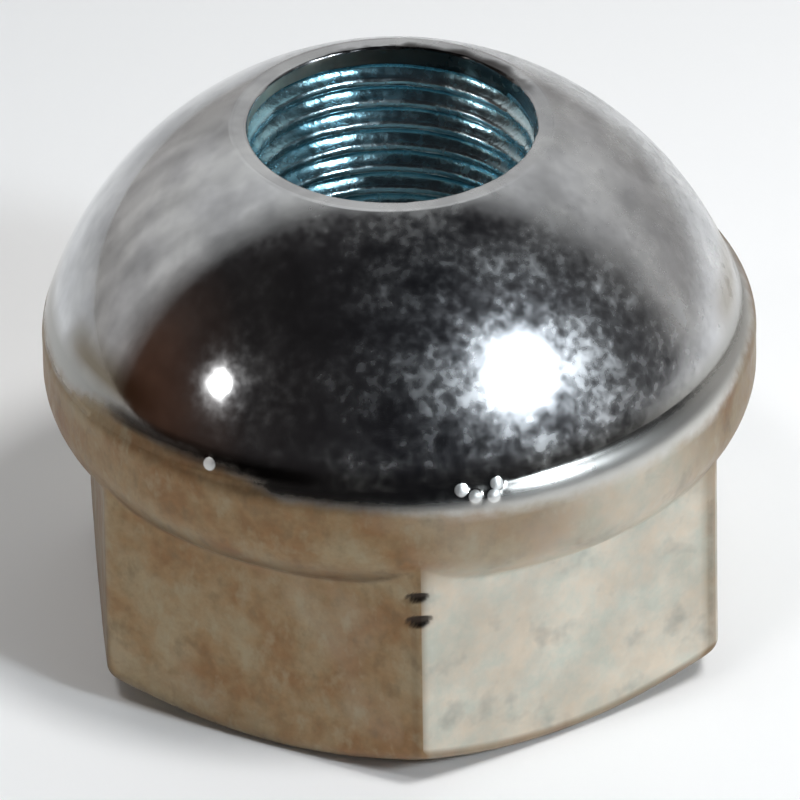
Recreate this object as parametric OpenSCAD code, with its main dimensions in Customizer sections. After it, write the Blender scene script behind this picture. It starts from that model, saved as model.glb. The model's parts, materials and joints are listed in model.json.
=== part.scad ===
// Cap nut with a ball seat: a hexagon for the wrench, a rounded collar above it, and a ball-shaped
// seat on top with the stud thread's mouth in its crown. One solid, in millimetres.
// The thread's axis is Z, and the flat end of the hexagon stands on Z = 0.

/* [Thread] */
// Major diameter of the stud thread (3/4 inch)
thread_d = 19.05; // [16:0.05:21]
// Pitch of the stud thread (16 turns to the inch)
thread_pitch = 1.5875; // [1:0.0125:2]
// Width of the countersink outside the bore at the mouth in the crown
mouth_bevel = 0.25; // [0.1:0.05:1.2]
// Width of the countersink outside the thread at the end of the hexagon
entry_bevel = 0.5; // [0.2:0.05:1.2]

/* [Hexagon] */
// Width across the flats (1 1/2 inch)
hex_af = 38.1; // [34:0.1:41]
// Height of the hexagon, from its end to the underside of the collar
hex_h = 13.6; // [11:0.1:17]
// How far the round edge of the flat end lies inside the flats
end_inset = 0.95; // [0.2:0.05:2]
// Slope of the chamfer that takes the corners off the end
end_slope = 30; // [20:1:45]

/* [Collar] */
// Height of the collar, from its underside to where its upper rounding starts
collar_h = 6.5; // [5:0.1:8]
// How far the collar stands out past the ball at that height
ledge_w = 0.15; // [0.1:0.05:0.8]
// Rounding of the collar's lower corner
corner_r = 4.4; // [1:0.1:4.6]
// Rounding of the collar's upper edge
edge_r = 2.4; // [1:0.1:4]
// Hollow rounding at the foot of the ball seat
cove_r = 1.3; // [0.5:0.1:2.5]

/* [Ball seat] */
// Radius of the ball seat (close to 7/8 inch)
seat_r = 22.75; // [21:0.05:25]
// Overall height, from the end of the hexagon to the crown
height = 35; // [32:0.1:38]
// Width of the flat land round the mouth in the crown
land_w = 1.05; // [0.3:0.05:2]

/* [Hidden] */
$fn = 96;

// Bore that the thread is cut in
bore_r = (thread_d - thread_pitch) / 2;
mouth_r = bore_r + mouth_bevel;
entry_r = thread_d / 2 + entry_bevel;
land_r = mouth_r + land_w;

// Chamfered end of the hexagon
hex_corner_r = hex_af / 2 / cos(30);
end_r = hex_af / 2 - end_inset;

// The ball passes through the edge of the land, and the collar stands out past it
ball_z = height - sqrt(seat_r ^ 2 - land_r ^ 2);
foot_z = hex_h + collar_h;
foot_r = sqrt(seat_r ^ 2 - (foot_z - ball_z) ^ 2);
collar_r = foot_r + ledge_w;

// Centres of the collar's roundings
corner_at = [collar_r - corner_r, hex_h + corner_r];
edge_at = [collar_r - edge_r, foot_z];

// The cove touches both the ball and the collar's upper edge, and bites into them by a hair
cove_bite = 0.002;
ball_at = [0, ball_z];
ball_to_edge = norm(edge_at - ball_at);
ball_to_cove = seat_r + cove_r - cove_bite;
edge_to_cove = edge_r + cove_r - cove_bite;
edge_angle = atan2(edge_at.y - ball_z, edge_at.x);
cove_cosine = (ball_to_cove ^ 2 + ball_to_edge ^ 2 - edge_to_cove ^ 2) / (2 * ball_to_cove * ball_to_edge);
cove_angle = edge_angle + acos(cove_cosine);
cove_at = ball_at + ball_to_cove * [cos(cove_angle), sin(cove_angle)];

// Length that a cut runs past the face that it opens
overcut = 1;

// Half section of the collar: a block with its two outer corners rounded
module collar_section() {
    translate([0, hex_h])
        square([corner_at.x, edge_at.y - hex_h]);
    translate([0, corner_at.y])
        square([collar_r, edge_at.y - corner_at.y]);
    translate(corner_at)
        circle(corner_r);
    translate(edge_at)
        circle(edge_r);
}

// Half section of the ball seat, with the crown cut flat
module seat_section() {
    intersection() {
        translate(ball_at)
            circle(seat_r);
        translate([0, edge_at.y])
            square([seat_r, height - edge_at.y]);
    }
}

// Half section of all that is turned: the collar, the seat and the web between them, less the cove
module turned_section() {
    difference() {
        intersection() {
            union() {
                collar_section();
                seat_section();
                polygon([ball_at, edge_at, cove_at]);
            }
            square([collar_r + cove_r, height]);
        }
        translate(cove_at)
            circle(cove_r);
    }
}

// Hexagon with the corners of its end chamfered, rooted in the collar
module hexagon() {
    intersection() {
        rotate(30)
            cylinder(r = hex_corner_r, h = corner_at.y, $fn = 6);
        cylinder(r1 = end_r, r2 = end_r + corner_at.y / tan(end_slope), h = corner_at.y);
    }
}

// Through bore with a countersink at each end
module bore() {
    translate([0, 0, -overcut])
        cylinder(r = bore_r, h = height + 2 * overcut);
    translate([0, 0, height - mouth_bevel])
        cylinder(r1 = bore_r, r2 = mouth_r + overcut, h = mouth_bevel + overcut);
    translate([0, 0, -overcut])
        cylinder(r1 = entry_r + overcut, r2 = bore_r, h = entry_r - bore_r + overcut);
}

module cap_nut() {
    color("#b9b7ad")
        difference() {
            union() {
                rotate_extrude()
                    turned_section();
                hexagon();
            }
            bore();
        }
}

cap_nut();
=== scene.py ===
"""Looks of the ball-seat cap nut, in metres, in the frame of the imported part."""
import json
from math import acos, asin, atan2, cos, degrees, hypot, pi, radians, sin, sqrt, tan

import bmesh
import bpy
from mathutils import Matrix, Vector, noise


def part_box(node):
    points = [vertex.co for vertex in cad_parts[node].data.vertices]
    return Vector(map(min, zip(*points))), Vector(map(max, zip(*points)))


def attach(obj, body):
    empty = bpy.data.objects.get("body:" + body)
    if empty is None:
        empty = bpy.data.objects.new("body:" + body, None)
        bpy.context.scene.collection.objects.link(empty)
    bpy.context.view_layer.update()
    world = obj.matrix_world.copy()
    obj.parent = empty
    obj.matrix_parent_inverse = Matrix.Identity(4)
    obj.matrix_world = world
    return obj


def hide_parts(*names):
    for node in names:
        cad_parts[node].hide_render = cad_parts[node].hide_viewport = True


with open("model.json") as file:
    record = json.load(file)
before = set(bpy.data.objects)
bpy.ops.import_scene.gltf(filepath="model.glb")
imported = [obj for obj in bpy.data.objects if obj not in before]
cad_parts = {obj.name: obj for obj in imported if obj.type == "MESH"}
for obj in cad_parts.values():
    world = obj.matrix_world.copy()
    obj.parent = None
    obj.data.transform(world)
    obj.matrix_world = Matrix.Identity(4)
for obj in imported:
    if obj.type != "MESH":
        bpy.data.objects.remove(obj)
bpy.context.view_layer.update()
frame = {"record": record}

# Sizes of the nut, in millimetres

MM = 0.001
NODE = "cap_nut"
node_low, node_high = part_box(NODE)
COLLAR_R = (node_high.x - node_low.x) / 2 / MM
HEIGHT = node_high.z / MM
BORE_R = next(m["dims"]["r_mm"] for m in frame["record"]["mounts"] if m["name"] == "stud_thread")

HEX_SIDES = 6
HEX_AF = 38.1
HEX_H = 13.6
END_INSET = 0.95
END_SLOPE = radians(30)
COLLAR_H = 6.5
CORNER_R = 4.4
EDGE_R = 2.4
COVE_R = 1.3
SEAT_R = 22.75
LAND_W = 1.05
MOUTH_BEVEL = 0.25
ENTRY_BEVEL = 0.5
THREAD_D = 19.05
THREAD_PITCH = 1.5875

SIDE_DEGREES = 360 / HEX_SIDES
SIDE_ANGLE = radians(SIDE_DEGREES)
HALF_SIDE = radians(SIDE_DEGREES / 2)
EDGE_Z = HEX_H + COLLAR_H
END_R = HEX_AF / 2 - END_INSET
MOUTH_R = BORE_R + MOUTH_BEVEL
ENTRY_R = THREAD_D / 2 + ENTRY_BEVEL
LAND_R = MOUTH_R + LAND_W
BALL_Z = HEIGHT - sqrt(SEAT_R ** 2 - LAND_R ** 2)

# Small roundings of the edges, as a tumbled and plated forging has them
HEX_EDGE_R = 1.0
END_EDGE_R = 0.9
CHAMFER_EDGE_R = 1.4
JUNCTION_R = 1.0
LAND_EDGE_R = 0.6
MOUTH_EDGE = 0.22
ENTRY_EDGE = 0.1

# The seat was turned a little off the axis of the hexagon, towards this side
SEAT_OFFSET = 0.26
SEAT_SIDE = radians(180)

# Camera: long lens, fitted to the outline of the nut
CAMERA_DISTANCE = 1500.0
CAMERA_ELEVATION = radians(32.75)
CAMERA_TURN = radians(2.95)
CAMERA_ROLL = radians(0.85)
PIXELS_PER_MM = 16.065
IMAGE_SIZE = 800
TARGET_Z = 18.0
TARGET_PIXEL = (399.6, 354.9)
SENSOR_WIDTH = 36.0
CLIP_START = 0.1
CLIP_END = 10.0


# Shape of the nut: one outline in the plane of each column, swept round the axis

COLUMNS_PER_SIDE = 50
CORNER_CROWDING = 1.6
FRONT_CORNER = radians(-90)

# Beads of plating that sit in the cove: angle in degrees, distance from the axis and height
BEADS = [
    (-83.2, 21.61, 21.71), (-81.0, 21.89, 21.32), (-77.2, 21.54, 21.80), (-78.0, 21.95, 21.20),
    (-125.9, 21.68, 21.90),
]
BEAD_R = 0.46
BEAD_RISE = 0.12
BEADS_END_Z = 24.0
BEAD_CENTRES = [Vector((r * cos(radians(a)), r * sin(radians(a)), z)) for a, r, z in BEADS]

# Columns added beside each bead, and the least gap that they keep, in degrees
BEAD_COLUMNS = [-1.2, -0.8, -0.4, 0.0, 0.4, 0.8, 1.2]
BEAD_GAP = 0.28


def column_angles():
    """Angles of the columns, crowded at the corners of the hexagon and at the beads."""
    half = COLUMNS_PER_SIDE // 2
    angles = []
    for corner in range(HEX_SIDES):
        for step in range(-half, half):
            share = step / half
            bend = abs(share) ** CORNER_CROWDING
            offset = HALF_SIDE * (bend if share > 0 else -bend)
            angles.append(FRONT_CORNER + SIDE_ANGLE * corner + offset)
    first = angles[0]
    for turn, _, _ in BEADS:
        for step in BEAD_COLUMNS:
            angle = first + (radians(turn + step) - first) % (2 * pi)
            if min(abs(angle - other) for other in angles) > radians(BEAD_GAP):
                angles.append(angle)
    return sorted(angles)


def hex_radius(angle):
    """Distance from the axis to the side of the hexagon, with its corner rounded."""
    turn = (angle - FRONT_CORNER + HALF_SIDE) % SIDE_ANGLE - HALF_SIDE
    centre = (HEX_AF / 2 - HEX_EDGE_R) / cos(HALF_SIDE)
    touch = atan2(HEX_EDGE_R * sin(HALF_SIDE), centre + HEX_EDGE_R * cos(HALF_SIDE))
    if abs(turn) < touch:
        return centre * cos(turn) + sqrt(HEX_EDGE_R ** 2 - (centre * sin(turn)) ** 2)
    return HEX_AF / 2 / cos(HALF_SIDE - abs(turn))


def shoulder_z(angle):
    """Height at which the chamfer of the end leaves the side of the hexagon."""
    return (hex_radius(angle) - END_R) * tan(END_SLOPE)


def line(start, end, count):
    """Points from start towards end, without the end."""
    return [start.lerp(end, i / count) for i in range(count)]


def arc(centre, radius, first, final, count):
    """Points on an arc, ends included."""
    angles = [first + (final - first) * i / (count - 1) for i in range(count)]
    return [centre + radius * Vector((cos(a), sin(a))) for a in angles]


def rounded(before, corner, after, radius, count):
    """Points of the arc that rounds the corner between two straight lines."""
    a = (before - corner).normalized()
    b = (after - corner).normalized()
    half = a.angle(b) / 2
    start = corner + a * radius / tan(half)
    end = corner + b * radius / tan(half)
    centre = corner + (a + b).normalized() * radius / sin(half)
    first = atan2(start.y - centre.y, start.x - centre.x)
    final = atan2(end.y - centre.y, end.x - centre.x)
    if final - first > pi:
        final -= 2 * pi
    if first - final > pi:
        final += 2 * pi
    return arc(centre, radius, first, final, count)


# Number of points on each stretch of the outline
STEPS = {
    "end": 6, "end_edge": 5, "chamfer_edge": 6, "junction": 6, "corner": 12, "collar": 4,
    "upper_edge": 12, "cove": 9, "ball": 42, "land_edge": 6, "land": 5, "lip": 6,
}

# Heights on the flats of the hexagon, as shares of the flat, closer together at the two nicks
NICK_ROWS = 33
NICK_ROWS_FROM = 0.68
NICK_ROW_STEP = 0.0095
FLAT_SHARES = [0.08, 0.18, 0.3, 0.42, 0.54, 0.62]
FLAT_SHARES += [NICK_ROWS_FROM + NICK_ROW_STEP * i for i in range(NICK_ROWS)]


def cove_centre(ball, edge):
    """Centre of the cove, which touches the ball and the collar's upper edge, and its angle from the ball."""
    to_edge = edge - ball
    to_cove = SEAT_R + COVE_R
    span = to_edge.length
    cosine = (to_cove ** 2 + span ** 2 - (EDGE_R + COVE_R) ** 2) / (2 * to_cove * span)
    lift = atan2(to_edge.y, to_edge.x) + acos(min(cosine, 1))
    return ball + to_cove * Vector((cos(lift), sin(lift))), lift


def outline(angle, mouth_ring):
    """Points of the outside at one angle, from the end of the bore up to the mouth, with a zone for each."""
    points = []

    def add(zone, new):
        points.extend((zone, p) for p in new)

    flat_r = hex_radius(angle)
    inner = Vector((ENTRY_R + ENTRY_EDGE, 0))
    end = Vector((END_R, 0))
    shoulder = Vector((flat_r, shoulder_z(angle)))
    top = Vector((flat_r, HEX_H))
    add("body", [Vector((ENTRY_R - ENTRY_EDGE, ENTRY_EDGE))])
    add("body", line(inner, end - Vector((END_EDGE_R, 0)), STEPS["end"]))
    add("body", rounded(inner, end, shoulder, END_EDGE_R, STEPS["end_edge"]))
    add("body", rounded(end, shoulder, top, CHAMFER_EDGE_R, STEPS["chamfer_edge"]))

    # Hollow rounding where the flat runs into the collar
    corner = Vector((COLLAR_R - CORNER_R, HEX_H + CORNER_R))
    reach = CORNER_R + JUNCTION_R
    across = flat_r + JUNCTION_R - corner.x
    hollow = Vector((flat_r + JUNCTION_R, corner.y - sqrt(reach ** 2 - across ** 2)))
    low = points[-1][1]
    high = Vector((flat_r, hollow.y))
    add("body", [low.lerp(high, share) for share in FLAT_SHARES])
    meet = atan2(hollow.y - corner.y, hollow.x - corner.x)
    add("body", arc(hollow, JUNCTION_R, pi, pi + meet, STEPS["junction"]))
    add("body", arc(corner, CORNER_R, meet, 0, STEPS["corner"])[1:])

    # Collar's upper edge and the cove, which follows the ball as the seat's offset moves it in this plane
    ball = Vector((SEAT_OFFSET * cos(angle - SEAT_SIDE), BALL_Z))
    edge = Vector((COLLAR_R - EDGE_R, EDGE_Z))
    cove, lift = cove_centre(ball, edge)
    turn = atan2(cove.y - edge.y, cove.x - edge.x)
    add("body", line(Vector((COLLAR_R, corner.y)), Vector((COLLAR_R, edge.y)), STEPS["collar"])[1:])
    add("body", arc(edge, EDGE_R, 0, turn, STEPS["upper_edge"]))
    add("body", arc(cove, COVE_R, turn + pi, lift + pi, STEPS["cove"])[1:])

    # Ball up to the land, whose edge is rounded, and the land up to the mouth
    land = asin((HEIGHT - LAND_EDGE_R - BALL_Z) / (SEAT_R - LAND_EDGE_R))
    rim = ball + (SEAT_R - LAND_EDGE_R) * Vector((cos(land), sin(land)))
    add("body", arc(ball, SEAT_R, lift, land, STEPS["ball"])[1:])
    add("body", arc(rim, LAND_EDGE_R, land, pi / 2, STEPS["land_edge"])[1:])
    lip = mouth_ring + Vector((MOUTH_EDGE, 0))
    add("body", line(points[-1][1], lip + Vector((0, MOUTH_EDGE)), STEPS["land"])[1:])
    add("body", arc(lip, MOUTH_EDGE, pi / 2, pi, STEPS["lip"])[:-1])
    add("thread", [mouth_ring])
    return points


# Thread: rows that follow the helix, clipped by the countersinks at both ends

TURN_SHARES = [0.0, 0.13, 0.20, 0.43, 0.57, 0.80, 0.87]
CREST_HALF = 0.13
ROOT_HALF = 0.07
THREAD_TOP = HEIGHT - MOUTH_EDGE
THREAD_BOTTOM = ENTRY_EDGE
FIRST_CREST = 34.9
THREAD_START = radians(-90)
THREAD_ROOT_R = 9.47
CREST_ROUND = 0.05
LIP_DEPTH = 1.1
RUN_OUT = 0.6


def thread_radius(share):
    """Radius of the thread at a share of one turn, from the middle of one crest to the next."""
    distance = min(share, 1 - share)
    if distance <= CREST_HALF:
        return BORE_R + CREST_ROUND * (distance / CREST_HALF) ** 2
    if distance >= 0.5 - ROOT_HALF:
        return THREAD_ROOT_R
    climb = (distance - CREST_HALF) / (0.5 - ROOT_HALF - CREST_HALF)
    start = BORE_R + CREST_ROUND
    return start + (THREAD_ROOT_R - start) * climb


def thread_turn(angle):
    """Share of a turn from the thread's start to an angle."""
    return ((angle - THREAD_START) % (2 * pi)) / (2 * pi)


def bore_radius(angle, z):
    """Radius of the bore at one place: the thread, or a countersink where that is wider."""
    share = ((FIRST_CREST - z) / THREAD_PITCH + thread_turn(angle)) % 1
    run_out = min(max((THREAD_TOP - z) / RUN_OUT, 0), 1)
    thread = BORE_R + (thread_radius(share) - BORE_R) * run_out
    lip = MOUTH_R - max(HEIGHT - LIP_DEPTH - z, 0)
    entry = ENTRY_R - z
    shift = SEAT_OFFSET * cos(angle - SEAT_SIDE) * (z - THREAD_BOTTOM) / (HEIGHT - THREAD_BOTTOM)
    return max(thread, lip, entry) + shift


def thread_rows(angle):
    """Points down the bore at one angle, from the mouth to the end of the hexagon."""
    turn = thread_turn(angle)
    turns = int((FIRST_CREST - THREAD_BOTTOM) / THREAD_PITCH) + 2
    points = []
    for lap in range(turns):
        for share in TURN_SHARES:
            z = FIRST_CREST + THREAD_PITCH * (turn - lap - share)
            z = min(max(z, THREAD_BOTTOM), THREAD_TOP)
            points.append(Vector((bore_radius(angle, z), z)))
    return points


# Marks in the surface: nicks beside the front corner, uneven flats, chips, and beads of plating

NICKS = [
    {"side": -0.25, "z": 14.15, "half_width": 0.85, "half_height": 0.38},
    {"side": -0.15, "z": 12.40, "half_width": 1.00, "half_height": 0.48},
]
NICK_SLOPE = 0.15
NICK_DEPTH = 0.22
UNEVEN_DEPTH = 0.035
UNEVEN_SCALE = 0.22
UNEVEN_OCTAVES = 3
FORGED_FROM_Z = 0.2
LIP_CHIPS = 0.07
LIP_CHIPS_SCALE = 0.9
LIP_CHIPS_OCTAVES = 3
THREAD_CHIPS = 0.05
THREAD_CHIPS_SCALE = 0.7
THREAD_CHIPS_OCTAVES = 2
CHIPS_FADE = 1.2
FRACTAL_DIMENSION = 1.0
FRACTAL_LACUNARITY = 2.0


def smooth(value, low, high):
    """Smooth step from 0 at low to 1 at high."""
    share = min(max((value - low) / (high - low), 0), 1)
    return share * share * (3 - 2 * share)


def fractal(place, octaves):
    """Fractal noise at a place, round 0."""
    return noise.fractal(place, FRACTAL_DIMENSION, FRACTAL_LACUNARITY, octaves)


def nick_share(place):
    """How deep a place lies in a nick, from 0 to 1."""
    share = 0
    for nick in NICKS:
        u = (place.x - nick["side"]) / nick["half_width"]
        v = (place.z - nick["z"] - NICK_SLOPE * u) / nick["half_height"]
        share = max(share, 1 - u * u - v * v)
    return share if place.y < 0 else 0


def forged(place):
    """Moves one place on the hexagon or the collar inwards by the marks of the forging."""
    radial = Vector((place.x, place.y, 0)).normalized()
    depth = UNEVEN_DEPTH * (0.5 + 0.5 * fractal(place * UNEVEN_SCALE, UNEVEN_OCTAVES))
    depth += NICK_DEPTH * smooth(nick_share(place), 0, 1)
    return place - radial * depth


def beaded(place):
    """Raises the beads of plating out of the cove."""
    rise = 0
    for centre in BEAD_CENTRES:
        near = (place - centre).length / BEAD_R
        rise = max(rise, 1 - near * near)
    outward = Vector((place.x, place.y, 0)).normalized() + Vector((0, 0, 1))
    return place + outward.normalized() * BEAD_RISE * rise


def chipped(place, zone):
    """Roughens the lip of the mouth and the thread a little."""
    radius = hypot(place.x, place.y)
    depth = 0
    if zone == "thread":
        depth = THREAD_CHIPS * fractal(place * THREAD_CHIPS_SCALE, THREAD_CHIPS_OCTAVES)
        depth *= smooth(place.z, THREAD_BOTTOM, THREAD_BOTTOM + CHIPS_FADE)
    elif radius < MOUTH_R + MOUTH_EDGE and place.z > BALL_Z:
        depth = LIP_CHIPS * fractal(place * LIP_CHIPS_SCALE, LIP_CHIPS_OCTAVES)
    return place + Vector((place.x, place.y, 0)) / radius * depth


def worked(place, zone):
    """Moves one place of the plain outline by the marks that its part of the nut has."""
    if zone == "body" and FORGED_FROM_Z < place.z < EDGE_Z:
        return forged(place)
    if zone == "body" and EDGE_Z <= place.z < BEADS_END_Z:
        return beaded(place)
    return chipped(place, zone)


# Where the skin is bright and turned, where it is satin, and where film, dark marks and painted shade lie on
# it.
# A spot has a side, and cosines of the angle from that side at which it is faint and full.
# A fade is a pair of places between which a share rises or falls.

TURNED_Z = 20.35
TURNED_RISE = 0.95
TURNED_BELOW = 0.8
TURNED_ABOVE = 0.4
BARE_SPOT = {"side": radians(-42), "faint": 0.45, "full": 0.9}
COVERS = [
    {"side": radians(-137), "rise": 1.1, "faint": 0.90, "full": 0.985},
    {"side": radians(15), "rise": 1.0, "faint": 0.62, "full": 0.90},
]

SATIN_COVE = {"side": radians(-20), "faint": 0.6, "full": 0.88}
SATIN_COVE_FADE = (21.5, 22.4)
SATIN_EDGE = {"side": radians(-80), "faint": 0.5, "full": 0.9}
SATIN_EDGE_FADE = (20.9, 21.5)
SATIN_EDGE_SHARE = 0.9

# Film and painted shade by angle in degrees: on each flat, from the corner where it starts, and at stops
# round the collar. The brown film is real, and it is laid on heavier at the left and lighter at the front
# right as painted shade.
FIRST_CORNER = -150
FILM_AND_SHADE_ON_FLATS = {-150: 1.0, -90: 0.06, -30: 0.35, 30: 0.55, 90: 0.75, 150: 1.2}
FILM_AND_SHADE_ON_COLLAR = {
    -180: 1.1, -135: 1.2, -105: 1.1, -80: 0.8, -50: 0.25, -20: 1.0, 30: 0.95, 90: 0.7, 180: 1.1,
}
COLLAR_FILM_RISE = (HEX_H + 0.2, HEX_H + 3.4)
CORNER_BLEND = 1.2
# Painted shade: a brown line just before each corner of the hexagon
CORNER_BROWN_SHADE = 0.5
CORNER_BROWN_SHADE_RISE = (56.6, 58.6)
RIM_FILM = 0.75
RIM_FADE = (0.3, 0.9)
END_FILM = 0.9
END_FADE = 0.12
FOOT_Z = 22.3
FOOT_FILM_FADE = (FOOT_Z + 1.4, FOOT_Z + 3.4)
FOOT_FILMS = [
    {"side": radians(-153), "share": 1.0, "faint": 0.955, "full": 0.995},
    {"side": radians(8), "share": 0.8, "faint": 0.86, "full": 0.95},
]

NICK_DARK_RISE = (0, 0.6)
# Painted shade: a dark line just before each corner of the hexagon
CORNER_DARK_SHADE = 0.3
CORNER_DARK_SHADE_RISE = (57.6, 58.6)
CORNER_DARK_SHADE_FADE = (59.2, 60)
DARK_LIP = 1.35
DARK_LIP_SPOT = {"side": radians(68), "faint": 0.45, "full": 0.95}
DARK_LAND_W = 0.35
DARK_LAND_RAGGED = 0.45
DARK_LAND_SCALE = 4.5
DARK_LAND_OCTAVES = 3
DARK_LAND_INNER = 0.3
DARK_LAND_OUTER = 0.35
# Painted shade: a dark patch in the cove at the left of the ball's foot
FOOT_SHADE_SPOT = {"side": radians(-128), "faint": 0.90, "full": 0.97}
FOOT_SHADE_RISE = (FOOT_Z - 0.8, FOOT_Z - 0.2)
FOOT_SHADE_FADE = (FOOT_Z, FOOT_Z + 0.9)
CREST_FADE = 0.4


def beside(angle, spot):
    """Share of a spot at an angle, from 0 where it is faint to 1 where it is full."""
    return smooth(cos(angle - spot["side"]), spot["faint"], spot["full"])


def satin_share(angle, z):
    """Share of clean satin skin, which fills the cove on one side and its lower edge on the next."""
    cove = beside(angle, SATIN_COVE) * (1 - smooth(z, *SATIN_COVE_FADE))
    edge = beside(angle, SATIN_EDGE) * (1 - smooth(z, *SATIN_EDGE_FADE))
    return max(cove, SATIN_EDGE_SHARE * edge)


def turned_share(angle, z):
    """Share of bright turned skin, which reaches down on its bare side and is covered at two places."""
    edge = TURNED_Z + TURNED_RISE * (1 - beside(angle, BARE_SPOT))
    for cover in COVERS:
        edge += cover["rise"] * beside(angle, cover)
    return smooth(z, edge - TURNED_BELOW, edge + TURNED_ABOVE)


def collar_film_and_shade(turn):
    """Share of film and painted shade at a turn round the collar in degrees, eased between the stops on both
    sides.
    """
    low = max(stop for stop in FILM_AND_SHADE_ON_COLLAR if stop <= turn)
    high = min(stop for stop in FILM_AND_SHADE_ON_COLLAR if stop > turn)
    ease = smooth(turn, low, high)
    return FILM_AND_SHADE_ON_COLLAR[low] * (1 - ease) + FILM_AND_SHADE_ON_COLLAR[high] * ease


def flat_film_and_shade(turn):
    """Share of film and painted shade on the flat at a turn in degrees, blended with the next flat close to a
    corner.
    """
    films = list(FILM_AND_SHADE_ON_FLATS.values())
    index = int((turn - FIRST_CORNER) // SIDE_DEGREES) % HEX_SIDES
    into = (turn - FIRST_CORNER) % SIDE_DEGREES
    here = films[index]
    if into < CORNER_BLEND:
        before = films[index - 1]
        return before + (here - before) * smooth(into, -CORNER_BLEND, CORNER_BLEND)
    if into > SIDE_DEGREES - CORNER_BLEND:
        after = films[(index + 1) % HEX_SIDES]
        return here + (after - here) * smooth(into, SIDE_DEGREES - CORNER_BLEND, SIDE_DEGREES + CORNER_BLEND)
    return here


def film_and_shade_share(angle, z):
    """Share of brown film and painted shade: steady on each flat of the hexagon, heavier on the left side as
    painted shade, with a brown line of painted shade before each corner, and drifting round the collar.
    """
    turn = (degrees(angle) + 180) % 360 - 180
    into = (turn - FIRST_CORNER) % SIDE_DEGREES
    flat = flat_film_and_shade(turn)
    flat += RIM_FILM * (1 - smooth(z - shoulder_z(angle), *RIM_FADE))
    flat += CORNER_BROWN_SHADE * smooth(into, *CORNER_BROWN_SHADE_RISE)
    flat += (END_FILM - flat) * (1 - smooth(z, 0, END_FADE))
    collar = collar_film_and_shade(turn)
    if z > FOOT_Z:
        near = [film["share"] * beside(angle, film) for film in FOOT_FILMS]
        collar = max(near) * (1 - smooth(z, *FOOT_FILM_FADE))
    climb = smooth(z, *COLLAR_FILM_RISE)
    return flat * (1 - climb) + collar * climb


def dark_share(angle, radius, z, zone, nick):
    """Share of dark marks and painted shade: nicks, a line of painted shade before each corner, the far side
    of the lip, and painted shade in the cove at the left of the ball's foot.
    """
    into = (degrees(angle) - FIRST_CORNER) % SIDE_DEGREES
    share = smooth(nick, *NICK_DARK_RISE)
    if zone == "body" and z < HEX_H:
        corner_shade = smooth(into, *CORNER_DARK_SHADE_RISE) * (1 - smooth(into, *CORNER_DARK_SHADE_FADE))
        share = max(share, CORNER_DARK_SHADE * corner_shade * smooth(z, 0, END_FADE))
    if z > HEIGHT - DARK_LIP:
        side = beside(angle, DARK_LIP_SPOT)
        if zone == "body":
            ragged = fractal(Vector((cos(angle), sin(angle), 0)) * DARK_LAND_SCALE, DARK_LAND_OCTAVES)
            reach = MOUTH_R + DARK_LAND_W + DARK_LAND_RAGGED * ragged
            side *= 1 - smooth(radius, reach - DARK_LAND_INNER, reach + DARK_LAND_OUTER)
        share = max(share, side)
    elif zone == "body":
        foot_shade = smooth(z, *FOOT_SHADE_RISE) * (1 - smooth(z, *FOOT_SHADE_FADE))
        share = max(share, beside(angle, FOOT_SHADE_SPOT) * foot_shade)
    return share


# The mesh. Its zones are in the order of its materials.

ZONES = ["body", "thread"]
MERGE_DISTANCE = 1e-7
SLIVER_SIZE = 1e-8


def add_column(mesh, layers, angle, rows):
    """Vertices of one column, each with its shares."""
    column = []
    for zone, p in rows:
        plain = Vector((p.x * cos(angle), p.x * sin(angle), p.y))
        nick = nick_share(plain) if zone == "body" else 0
        place = worked(plain, zone)
        vert = mesh.verts.new(place * MM)
        vert[layers["turned"]] = turned_share(angle, p.y)
        vert[layers["film"]] = film_and_shade_share(angle, p.y)
        vert[layers["satin"]] = satin_share(angle, p.y)
        vert[layers["dark"]] = dark_share(angle, p.x, p.y, zone, nick)
        # On the thread this share marks the crests, which the thread's colour paints paler as a painted
        # highlight
        if zone == "thread":
            vert[layers["turned"]] = 1 - smooth(hypot(place.x, place.y), BORE_R, BORE_R + CREST_FADE)
        column.append(vert)
    return column


def add_faces(mesh, angles, columns, zones):
    """Faces between the columns. The thread climbs one turn at the seam, where it starts."""
    outer = zones[0].index(ZONES.index("thread"))
    lap = len(TURN_SHARES)
    rows = len(columns[0])
    seam = min(range(len(angles)), key=lambda i: (angles[i] - THREAD_START) % (2 * pi))
    for i in range(len(angles)):
        here = columns[i - 1]
        there = columns[i]
        for row in range(rows):
            below = (row + 1) % rows
            upper, lower = row, below
            if i == seam and row >= outer:
                upper = max(row - lap, outer)
                lower = max(below - lap, outer) if below else 0
            corners = [here[row], there[upper], there[lower], here[below]]
            distinct = list(dict.fromkeys(corners))
            if len(distinct) < 3:
                continue
            face = mesh.faces.new(distinct)
            face.smooth = True
            on_lip = min(vert.co.z for vert in distinct) > (HEIGHT - DARK_LIP) * MM
            face.material_index = 0 if on_lip else zones[i][row]


def build_nut():
    """The nut as one closed mesh, with shares of turned skin, film and painted shade, dark marks and painted
    shade, and satin skin at each vertex.
    """
    mesh = bmesh.new()
    names = ["turned", "film", "dark", "satin"]
    for name in names:
        mesh.verts.layers.float.new(name)
    layers = {name: mesh.verts.layers.float[name] for name in names}
    angles = column_angles()
    zones = []
    columns = []
    for angle in angles:
        bore = thread_rows(angle)
        rows = outline(angle, bore[0]) + [("thread", p) for p in bore[1:]]
        columns.append(add_column(mesh, layers, angle, rows))
        zones.append([ZONES.index(zone) for zone, _ in rows])
    add_faces(mesh, angles, columns, zones)
    bmesh.ops.remove_doubles(mesh, verts=mesh.verts, dist=MERGE_DISTANCE)
    bmesh.ops.dissolve_degenerate(mesh, edges=mesh.edges, dist=SLIVER_SIZE)
    bmesh.ops.recalc_face_normals(mesh, faces=mesh.faces)
    data = bpy.data.meshes.new("nut_shape")
    mesh.to_mesh(data)
    mesh.free()
    return data


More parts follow.
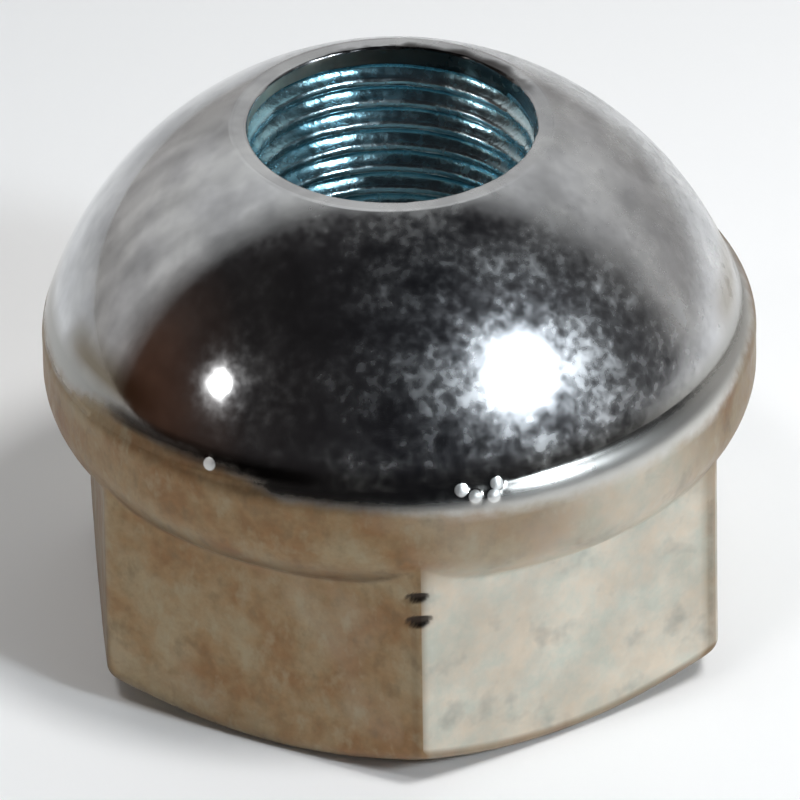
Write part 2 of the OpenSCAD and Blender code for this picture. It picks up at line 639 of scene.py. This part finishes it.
# Helpers for materials

def new_material(name):
    """A metal, with its node tree and its shader."""
    material = bpy.data.materials.new(name)
    material.use_nodes = True
    tree = material.node_tree
    tree.nodes.clear()
    output = tree.nodes.new("ShaderNodeOutputMaterial")
    shader = tree.nodes.new("ShaderNodeBsdfPrincipled")
    shader.inputs["Metallic"].default_value = 1.0
    tree.links.new(shader.outputs["BSDF"], output.inputs["Surface"])
    return material, tree, shader


def object_place(tree):
    """Place in the object's own frame, in metres."""
    return tree.nodes.new("ShaderNodeTexCoord").outputs["Object"]


def noise_node(tree, scale, detail=4.0, roughness=0.55, offset=(0, 0, 0), stretch=(1, 1, 1)):
    """Noise in the object's own frame, with features about 1 / scale metres across."""
    mapping = tree.nodes.new("ShaderNodeMapping")
    mapping.inputs["Location"].default_value = offset
    mapping.inputs["Scale"].default_value = stretch
    texture = tree.nodes.new("ShaderNodeTexNoise")
    texture.inputs["Scale"].default_value = scale
    texture.inputs["Detail"].default_value = detail
    texture.inputs["Roughness"].default_value = roughness
    tree.links.new(object_place(tree), mapping.inputs["Vector"])
    tree.links.new(mapping.outputs["Vector"], texture.inputs["Vector"])
    return texture.outputs["Fac"]


def ramp(tree, value, stops):
    """Colour ramp from a list of places and colours, or places and grey levels."""
    node = tree.nodes.new("ShaderNodeValToRGB")
    elements = node.color_ramp.elements
    while len(elements) < len(stops):
        elements.new(0.5)
    for element, (place, colour) in zip(elements, stops):
        element.position = place
        level = (colour,) * 3 if isinstance(colour, float) else colour
        element.color = (*level, 1.0)
    tree.links.new(value, node.inputs["Fac"])
    return node.outputs["Color"]


def feed(tree, socket, value):
    """Links a socket to another, or sets its value."""
    if isinstance(value, bpy.types.NodeSocket):
        tree.links.new(value, socket)
    else:
        socket.default_value = (*value, 1.0) if isinstance(value, tuple) else value


def mix(tree, factor, first, second, kind="MIX"):
    """Colour mix of two sockets or colours."""
    node = tree.nodes.new("ShaderNodeMix")
    node.data_type = "RGBA"
    node.blend_type = kind
    sockets = [socket for socket in node.inputs if socket.enabled]
    for socket, value in zip(sockets, (factor, first, second)):
        feed(tree, socket, value)
    return next(socket for socket in node.outputs if socket.enabled)


def shaded(tree, colour, value, stops):
    """A colour made darker or lighter by a ramp of grey levels."""
    return mix(tree, 1.0, colour, ramp(tree, value, stops), "MULTIPLY")


def calc(tree, operation, *values, clamp=False):
    """Arithmetic on sockets and numbers."""
    node = tree.nodes.new("ShaderNodeMath")
    node.operation = operation
    node.use_clamp = clamp
    for socket, value in zip(node.inputs, values):
        feed(tree, socket, value)
    return node.outputs[0]


def scaled(tree, value, factor, shift, clamp=False):
    """A value times a factor, plus a shift."""
    return calc(tree, "MULTIPLY_ADD", value, factor, shift, clamp=clamp)


def vertex_share(tree, name):
    """One of the shares that the mesh carries at its vertices."""
    node = tree.nodes.new("ShaderNodeAttribute")
    node.attribute_name = name
    return node.outputs["Fac"]


def bump(tree, height, strength, distance, under=None):
    """Fine relief in the surface, on top of another one if that is given."""
    node = tree.nodes.new("ShaderNodeBump")
    node.inputs["Distance"].default_value = distance
    feed(tree, node.inputs["Strength"], strength)
    tree.links.new(height, node.inputs["Height"])
    if under is not None:
        tree.links.new(under, node.inputs["Normal"])
    return node.outputs["Normal"]


# Colours of the zinc and of what lies on it

COOL_MIRROR = (0.62, 0.625, 0.64)
PALE_MIRROR = (0.74, 0.745, 0.75)
# Painted shade: darker zinc below the ball's foot, in the cove and on the collar's upper edge
FOOT_SHADE_ZINC = (0.40, 0.395, 0.375)
SATIN_ZINC = (0.63, 0.62, 0.59)
BALL_FILM = (0.30, 0.26, 0.20)
COOL_ZINC = (0.585, 0.60, 0.53)
PLAIN_ZINC = (0.655, 0.62, 0.535)
WARM_ZINC = (0.695, 0.62, 0.515)
SMUDGE = (0.34, 0.345, 0.315)
OLIVE_FILM = (0.30, 0.232, 0.145)
BROWN_FILM = (0.268, 0.182, 0.102)
RUST_FILM = (0.24, 0.142, 0.073)
PALE_STREAK = (0.33, 0.285, 0.195)
DARK_STREAK = (0.165, 0.118, 0.072)
# Dark marks, also used for the painted shade in the cove and before each corner
DARK_MARK_AND_SHADE = (0.03, 0.024, 0.022)
# Painted glint: near-white colour on the beads
BEAD_GLINT_WHITE = (0.88, 0.88, 0.86)
DEEP_BLUE = (0.27, 0.60, 0.73)
PALE_BLUE = (0.46, 0.76, 0.85)
# Painted highlight: paler colour on the crests of the thread
CREST_HIGHLIGHT_BLUE = (0.70, 0.84, 0.88)

# Haze on the ball: how it grows with x and how it clears below the ball's foot, per metre
HAZE_PER_X = 75.0
HAZE_AT_AXIS = 0.15
HAZE_CONTRAST = 3.2
CONTRAST_LOSS = 1.8
BALL_PER_Z = 900.0
BALL_AT_END = -20.1
FOOT_CLEARING = 0.45
MIRROR_ROUGH = 0.23
SATIN_ROUGH = (0.36, 0.36, 0.36)
BEAD_ROUGH = (0.5, 0.5, 0.5)

# How strongly borders fray, film drifts and marks tear, all from noise that lies round 0.5
FRAY = 5.0
FILM_DRIFT = 0.7
MARK_TEAR = 0.8

# Strength of the dark marks and painted shade, and how fast the painted glint on the beads gets full
MARK_STRENGTH = 0.92
GLINT_GAIN = 3.0

# Relief in metres, its strength on forged and turned skin, and the weight of dents in it
SKIN_RELIEF = 0.00004
FORGED_RELIEF = 0.22
TURNED_RELIEF = 0.06
DENTS = 5.0
BEAD_RELIEF = 0.00003

# Thread: relief in metres, its strength and the weight of flecks in it, and the range of roughness
FLECK_RELIEF = 0.00012
FLECK_STRENGTH = 0.42
FLECKS = 0.55
THREAD_ROUGH = 0.06
THREAD_ROUGH_GAIN = 0.36


def beads(tree):
    """Height of the beads, from 0 round them to 1 at their middle."""
    place = object_place(tree)
    height = None
    for centre in BEAD_CENTRES:
        gap = tree.nodes.new("ShaderNodeVectorMath")
        gap.operation = "DISTANCE"
        gap.inputs[1].default_value = centre * MM
        tree.links.new(place, gap.inputs[0])
        reach = calc(tree, "MULTIPLY", gap.outputs["Value"], 1 / (BEAD_R * MM))
        dome = calc(tree, "SUBTRACT", 1.0, calc(tree, "MULTIPLY", reach, reach), clamp=True)
        height = dome if height is None else calc(tree, "MAXIMUM", height, dome)
    return height


def turned_skin(tree, film, satin):
    """Colour and roughness of turned skin, close to a mirror, with a haze that gathers on one side, and
    darker below the ball's foot as painted shade.
    """
    specks = noise_node(tree, 1500, 1.5, 0.5)
    clouds = noise_node(tree, 320, 2.0, 0.5, (0.003, 0.001, 0.002))
    mottles = noise_node(tree, 210, 3.0, 0.6, (0.006, 0.003, 0.001))
    side = tree.nodes.new("ShaderNodeSeparateXYZ")
    tree.links.new(object_place(tree), side.inputs["Vector"])
    on_ball = scaled(tree, side.outputs["Z"], BALL_PER_Z, BALL_AT_END, clamp=True)

    gather = scaled(tree, side.outputs["X"], HAZE_PER_X, HAZE_AT_AXIS)
    gather = calc(tree, "MINIMUM", calc(tree, "MAXIMUM", gather, -1.0), 0.0)
    contrast = scaled(tree, gather, CONTRAST_LOSS, HAZE_CONTRAST)
    gather = calc(tree, "ADD", gather, scaled(tree, on_ball, FOOT_CLEARING, -FOOT_CLEARING))
    haze = scaled(tree, calc(tree, "ADD", specks, clouds), 0.5, -0.5)
    growth = calc(tree, "EXPONENT", scaled(tree, haze, contrast, gather))
    rough = calc(tree, "MULTIPLY", growth, MIRROR_ROUGH)

    colour = ramp(tree, clouds, [(0.36, COOL_MIRROR), (0.64, PALE_MIRROR)])
    colour = shaded(tree, colour, mottles, [(0.38, 0.80), (0.60, 1.06)])
    # Painted shade: the zinc is darker below the ball's foot
    colour = mix(tree, on_ball, FOOT_SHADE_ZINC, colour)
    colour = mix(tree, satin, colour, SATIN_ZINC)
    colour = mix(tree, calc(tree, "MULTIPLY", film, on_ball), colour, BALL_FILM)
    return colour, mix(tree, satin, rough, SATIN_ROUGH)


def forged_skin(tree, film, grain):
    """Colour and roughness of forged skin: zinc in cool and warm patches, under more or less brown film,
    whose share also paints the left side's shade.
    """
    drift = noise_node(tree, 120, 3.0, 0.5, (0.011, 0.004, 0.007))
    patches = noise_node(tree, 250, 4.0, 0.6, (0.004, 0.006, 0.001))
    tones = noise_node(tree, 420, 5.0, 0.65, (0.009, 0.001, 0.003))
    smudges = noise_node(tree, 330, 3.0, 0.55, (0.013, 0.002, 0.009))
    streaks = noise_node(tree, 760, 3.0, 0.6, (0.001, 0.007, 0.004), (1, 1, 0.7))

    clean = ramp(tree, tones, [(0.36, COOL_ZINC), (0.50, PLAIN_ZINC), (0.64, WARM_ZINC)])
    clean = shaded(tree, clean, patches, [(0.36, 0.90), (0.64, 1.08)])
    clean = mix(tree, ramp(tree, smudges, [(0.56, 0.0), (0.72, 0.6)]), clean, SMUDGE)

    brown = ramp(tree, patches, [(0.36, OLIVE_FILM), (0.50, BROWN_FILM), (0.62, RUST_FILM)])
    brown = shaded(tree, brown, grain, [(0.30, 0.84), (0.70, 1.12)])
    brown = mix(tree, ramp(tree, streaks, [(0.54, 0.0), (0.72, 0.55)]), brown, PALE_STREAK)
    brown = mix(tree, ramp(tree, streaks, [(0.28, 0.55), (0.44, 0.0)]), brown, DARK_STREAK)

    uneven = scaled(tree, drift, FILM_DRIFT, -FILM_DRIFT / 2)
    amount = calc(tree, "ADD", film, uneven, clamp=True)
    rough = ramp(tree, grain, [(0.3, 0.38), (0.7, 0.52)])
    return mix(tree, amount, clean, brown), rough


def outside_material():
    """Zinc plate: a bright clouded seat, satin forged sides with a brown film that also carries painted
    shade, dark marks and painted shade, and beads coloured near white as a painted glint.
    """
    material, tree, shader = new_material("zinc_outside")
    turned = vertex_share(tree, "turned")
    film = vertex_share(tree, "film")
    dark = vertex_share(tree, "dark")
    satin = vertex_share(tree, "satin")
    border = calc(tree, "MULTIPLY", turned, calc(tree, "SUBTRACT", 1.0, turned))
    fray = scaled(tree, noise_node(tree, 800, 3.0, 0.6, (0.008, 0.003, 0.006)), FRAY, -FRAY / 2)
    turned = scaled(tree, border, fray, turned, clamp=True)

    grain = noise_node(tree, 1300, 4.0, 0.6, (0.005, 0.002, 0.008))
    bright, bright_rough = turned_skin(tree, film, satin)
    dull, dull_rough = forged_skin(tree, film, grain)
    colour = mix(tree, turned, dull, bright)
    rough = mix(tree, turned, dull_rough, bright_rough)

    # Dark marks and painted shade, with ragged edges
    ragged = calc(tree, "ADD", dark, scaled(tree, grain, MARK_TEAR, -MARK_TEAR / 2))
    torn = ramp(tree, ragged, [(0.05, 0.0), (0.45, 1.0)])
    marks_and_shade = calc(tree, "MULTIPLY", calc(tree, "MULTIPLY", dark, MARK_STRENGTH), torn)
    colour = mix(tree, marks_and_shade, colour, DARK_MARK_AND_SHADE)

    # Painted glint: the beads are coloured near white
    drops = beads(tree)
    glint = calc(tree, "MULTIPLY", drops, GLINT_GAIN, clamp=True)
    tree.links.new(mix(tree, glint, colour, BEAD_GLINT_WHITE), shader.inputs["Base Color"])
    tree.links.new(mix(tree, glint, rough, BEAD_ROUGH), shader.inputs["Roughness"])

    relief = scaled(tree, turned, TURNED_RELIEF - FORGED_RELIEF, FORGED_RELIEF)
    dents = calc(tree, "MULTIPLY", noise_node(tree, 200, 2.0, 0.5, (0.002, 0.012, 0.005)), DENTS)
    skin = bump(tree, calc(tree, "ADD", noise_node(tree, 1200, 4.0), dents), relief, SKIN_RELIEF)
    tree.links.new(bump(tree, drops, 1.0, BEAD_RELIEF, skin), shader.inputs["Normal"])
    return material


def thread_material():
    """Zinc in the thread, with the blue tint that the passivation leaves there, and the crests painted paler
    as a painted highlight.
    """
    material, tree, shader = new_material("zinc_thread")
    crest = vertex_share(tree, "turned")
    tint = noise_node(tree, 260, 3.0, 0.5, (0.002, 0.009, 0.001))
    groove = ramp(tree, tint, [(0.35, DEEP_BLUE), (0.65, PALE_BLUE)])
    tree.links.new(mix(tree, crest, groove, CREST_HIGHLIGHT_BLUE), shader.inputs["Base Color"])
    rough = scaled(tree, noise_node(tree, 1100, 2.0), THREAD_ROUGH_GAIN, THREAD_ROUGH)
    tree.links.new(rough, shader.inputs["Roughness"])
    flecks = scaled(tree, noise_node(tree, 2400, 2.0), FLECKS, noise_node(tree, 700, 3.0))
    tree.links.new(bump(tree, flecks, FLECK_STRENGTH, FLECK_RELIEF), shader.inputs["Normal"])
    return material


nut = bpy.data.objects.new("nut", build_nut())
bpy.context.scene.collection.objects.link(nut)
for make in (outside_material, thread_material):
    nut.data.materials.append(make())
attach(nut, "root")
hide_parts(NODE)


# Floor, in metres. It lies a hair below the nut, so that their faces don't coincide.

FLOOR_Z = -0.00002
FLOOR_REACH = 0.6
FLOOR_COLOUR = (0.86, 0.86, 0.86, 1)
FLOOR_ROUGH = 0.9
FLOOR_SHINE = 0.1
GLOW_COLOUR = (1, 1, 1, 1)
GLOW_PER_M = 5.0
GLOW_AT_NUT = -0.4
GLOW_STRENGTH = 0.28


def floor_material():
    """Pale floor, which glows a little far from the nut, where no lamp reaches."""
    material = bpy.data.materials.new("pale_floor")
    material.use_nodes = True
    tree = material.node_tree
    shader = tree.nodes["Principled BSDF"]
    shader.inputs["Base Color"].default_value = FLOOR_COLOUR
    shader.inputs["Roughness"].default_value = FLOOR_ROUGH
    shader.inputs["Specular IOR Level"].default_value = FLOOR_SHINE
    distance = tree.nodes.new("ShaderNodeVectorMath")
    distance.operation = "LENGTH"
    tree.links.new(tree.nodes.new("ShaderNodeNewGeometry").outputs["Position"], distance.inputs[0])
    glow = scaled(tree, distance.outputs["Value"], GLOW_PER_M, GLOW_AT_NUT, clamp=True)
    shader.inputs["Emission Color"].default_value = GLOW_COLOUR
    tree.links.new(calc(tree, "MULTIPLY", glow, GLOW_STRENGTH), shader.inputs["Emission Strength"])
    return material


def build_floor():
    """One square sheet under the nut."""
    data = bpy.data.meshes.new("floor_sheet")
    signs = [(-1, -1), (1, -1), (1, 1), (-1, 1)]
    corners = [(x * FLOOR_REACH, y * FLOOR_REACH, FLOOR_Z) for x, y in signs]
    data.from_pydata(corners, [], [(0, 1, 2, 3)])
    sheet = bpy.data.objects.new("floor", data)
    bpy.context.scene.collection.objects.link(sheet)
    data.materials.append(floor_material())


# Lamps, in metres and degrees

LAMP_AIM = (0, 0, 0.02)
LAMP_SPREAD = 40
SPOT_BLEND = 0.45
WINDOW = {"turn": 49, "elevation": 31.5, "colour": (0.85, 0.93, 1.0)}


def direction_from(turn, elevation):
    """Unit vector towards a light: turn is to the right of the camera's side, both in degrees."""
    a = radians(turn) - CAMERA_TURN
    e = radians(elevation)
    return Vector((sin(a) * cos(e), -cos(a) * cos(e), sin(e)))


def aim_lamp(name, data, turn, elevation, distance, aim=LAMP_AIM, in_reflections=True):
    """Puts a lamp in the room, facing the nut or another place."""
    thing = bpy.data.objects.new(name, data)
    bpy.context.scene.collection.objects.link(thing)
    away = direction_from(turn, elevation)
    thing.location = Vector(aim) + away * distance
    thing.rotation_mode = "QUATERNION"
    thing.rotation_quaternion = away.to_track_quat("Z", "Y")
    thing.visible_glossy = in_reflections


def round_lamp(name, turn, elevation, distance, size, power, colour=(1, 1, 1)):
    """Round soft lamp that shows in the metal."""
    data = bpy.data.lights.new(name, "AREA")
    data.color = colour
    data.shape = "DISK"
    data.size = size
    data.energy = power
    data.spread = radians(LAMP_SPREAD)
    aim_lamp(name, data, turn, elevation, distance)


def floor_lamp(name, turn, elevation, distance, cone, softness, power, aim):
    """Soft spot lamp that whitens the floor round the nut, and doesn't show in the metal."""
    data = bpy.data.lights.new(name, "SPOT")
    data.spot_size = radians(cone)
    data.spot_blend = SPOT_BLEND
    data.shadow_soft_size = softness
    data.energy = power
    aim_lamp(name, data, turn, elevation, distance, aim, in_reflections=False)


def build_lamps():
    """A window with a glow round it, a small lamp, and two lamps for the floor."""
    round_lamp("window", distance=0.8, size=0.11, power=0.10, **WINDOW)
    round_lamp("window_glow", distance=0.82, size=0.34, power=0.063, **WINDOW)
    round_lamp("small_lamp", turn=-64, elevation=21.6, distance=0.8, size=0.055, power=0.018)
    floor_lamp("floor_lamp", turn=55, elevation=66, distance=1.0, cone=19, softness=0.16, power=38,
               aim=(0.085, 0.015, 0))
    floor_lamp("floor_fill", turn=-35, elevation=66, distance=1.0, cone=11, softness=0.12, power=14,
               aim=(-0.015, -0.045, 0))


# Room: the dark side's colours across the view, and the light side's colours from low to high

DARK_SIDE = [
    (0.0, (0.068, 0.034, 0.022)), (0.05, (0.046, 0.031, 0.026)), (0.13, (0.018, 0.016, 0.016)),
    (0.6, (0.0125, 0.0133, 0.016)), (1.0, (0.05, 0.05, 0.052)),
]
LIGHT_SIDE = [(0.40, (0.34, 0.33, 0.31)), (0.52, (0.44, 0.43, 0.42)), (0.9, (0.66, 0.67, 0.67))]
BORDER_BEND = -0.055
BORDER_SLANT = -0.05
BORDER_SHARPNESS = 4.5
BORDER_SHIFT = -0.44
CURTAIN_STRETCH = (9.0, 9.0, 0.6)
CURTAIN_DETAIL = 3.0
CURTAIN_SHADES = [(0.35, 0.78), (0.65, 1.12)]


def curtain_noise(tree, direction):
    """Noise in upright folds, seen in a direction."""
    folds = tree.nodes.new("ShaderNodeMapping")
    folds.inputs["Scale"].default_value = CURTAIN_STRETCH
    texture = tree.nodes.new("ShaderNodeTexNoise")
    texture.inputs["Scale"].default_value = 1.0
    texture.inputs["Detail"].default_value = CURTAIN_DETAIL
    tree.links.new(direction, folds.inputs["Vector"])
    tree.links.new(folds.outputs["Vector"], texture.inputs["Vector"])
    return texture.outputs["Fac"]


def build_world():
    """A room that is dark on the camera's side and light behind the nut."""
    world = bpy.data.worlds.new("room")
    bpy.context.scene.world = world
    world.use_nodes = True
    tree = world.node_tree
    place = tree.nodes.new("ShaderNodeTexCoord")
    turned = tree.nodes.new("ShaderNodeMapping")
    turned.inputs["Rotation"].default_value = (0, 0, CAMERA_TURN)
    split = tree.nodes.new("ShaderNodeSeparateXYZ")
    tree.links.new(place.outputs["Generated"], turned.inputs["Vector"])
    tree.links.new(turned.outputs["Vector"], split.inputs["Vector"])
    side, back, up = split.outputs

    # The dark part reaches further back at both sides
    border = scaled(tree, calc(tree, "ABSOLUTE", side), BORDER_BEND, back)
    border = scaled(tree, side, BORDER_SLANT, border)
    behind = scaled(tree, border, BORDER_SHARPNESS, BORDER_SHIFT, clamp=True)
    dark = ramp(tree, scaled(tree, side, 0.5, 0.5), DARK_SIDE)
    light = ramp(tree, scaled(tree, up, 0.5, 0.5), LIGHT_SIDE)
    light = shaded(tree, light, curtain_noise(tree, turned.outputs["Vector"]), CURTAIN_SHADES)
    background = tree.nodes["Background"]
    tree.links.new(mix(tree, behind, dark, light), background.inputs["Color"])
    background.inputs["Strength"].default_value = 1.0


def build_camera():
    """The camera of the photograph, which puts the target on its pixel."""
    data = bpy.data.cameras.new("photo_camera")
    data.sensor_width = SENSOR_WIDTH
    data.lens = PIXELS_PER_MM * SENSOR_WIDTH * CAMERA_DISTANCE / IMAGE_SIZE
    data.clip_start = CLIP_START
    data.clip_end = CLIP_END
    camera = bpy.data.objects.new("photo_camera", data)
    bpy.context.scene.collection.objects.link(camera)
    away = direction_from(0, degrees(CAMERA_ELEVATION))
    level = away.to_track_quat("Z", "Y").to_matrix()
    turned = level @ Matrix.Rotation(-CAMERA_ROLL, 3, "Z")
    right = turned.col[0]
    up = turned.col[1]
    centre = IMAGE_SIZE / 2
    aside = (centre - TARGET_PIXEL[0]) / PIXELS_PER_MM
    below = (TARGET_PIXEL[1] - centre) / PIXELS_PER_MM
    aim = Vector((0, 0, TARGET_Z)) + aside * right + below * up
    camera.location = (aim + CAMERA_DISTANCE * away) * MM
    camera.rotation_mode = "QUATERNION"
    camera.rotation_quaternion = turned.to_quaternion()
    bpy.context.scene.camera = camera


build_floor()
build_world()
build_lamps()
build_camera()
bpy.context.scene.view_settings.view_transform = "Standard"
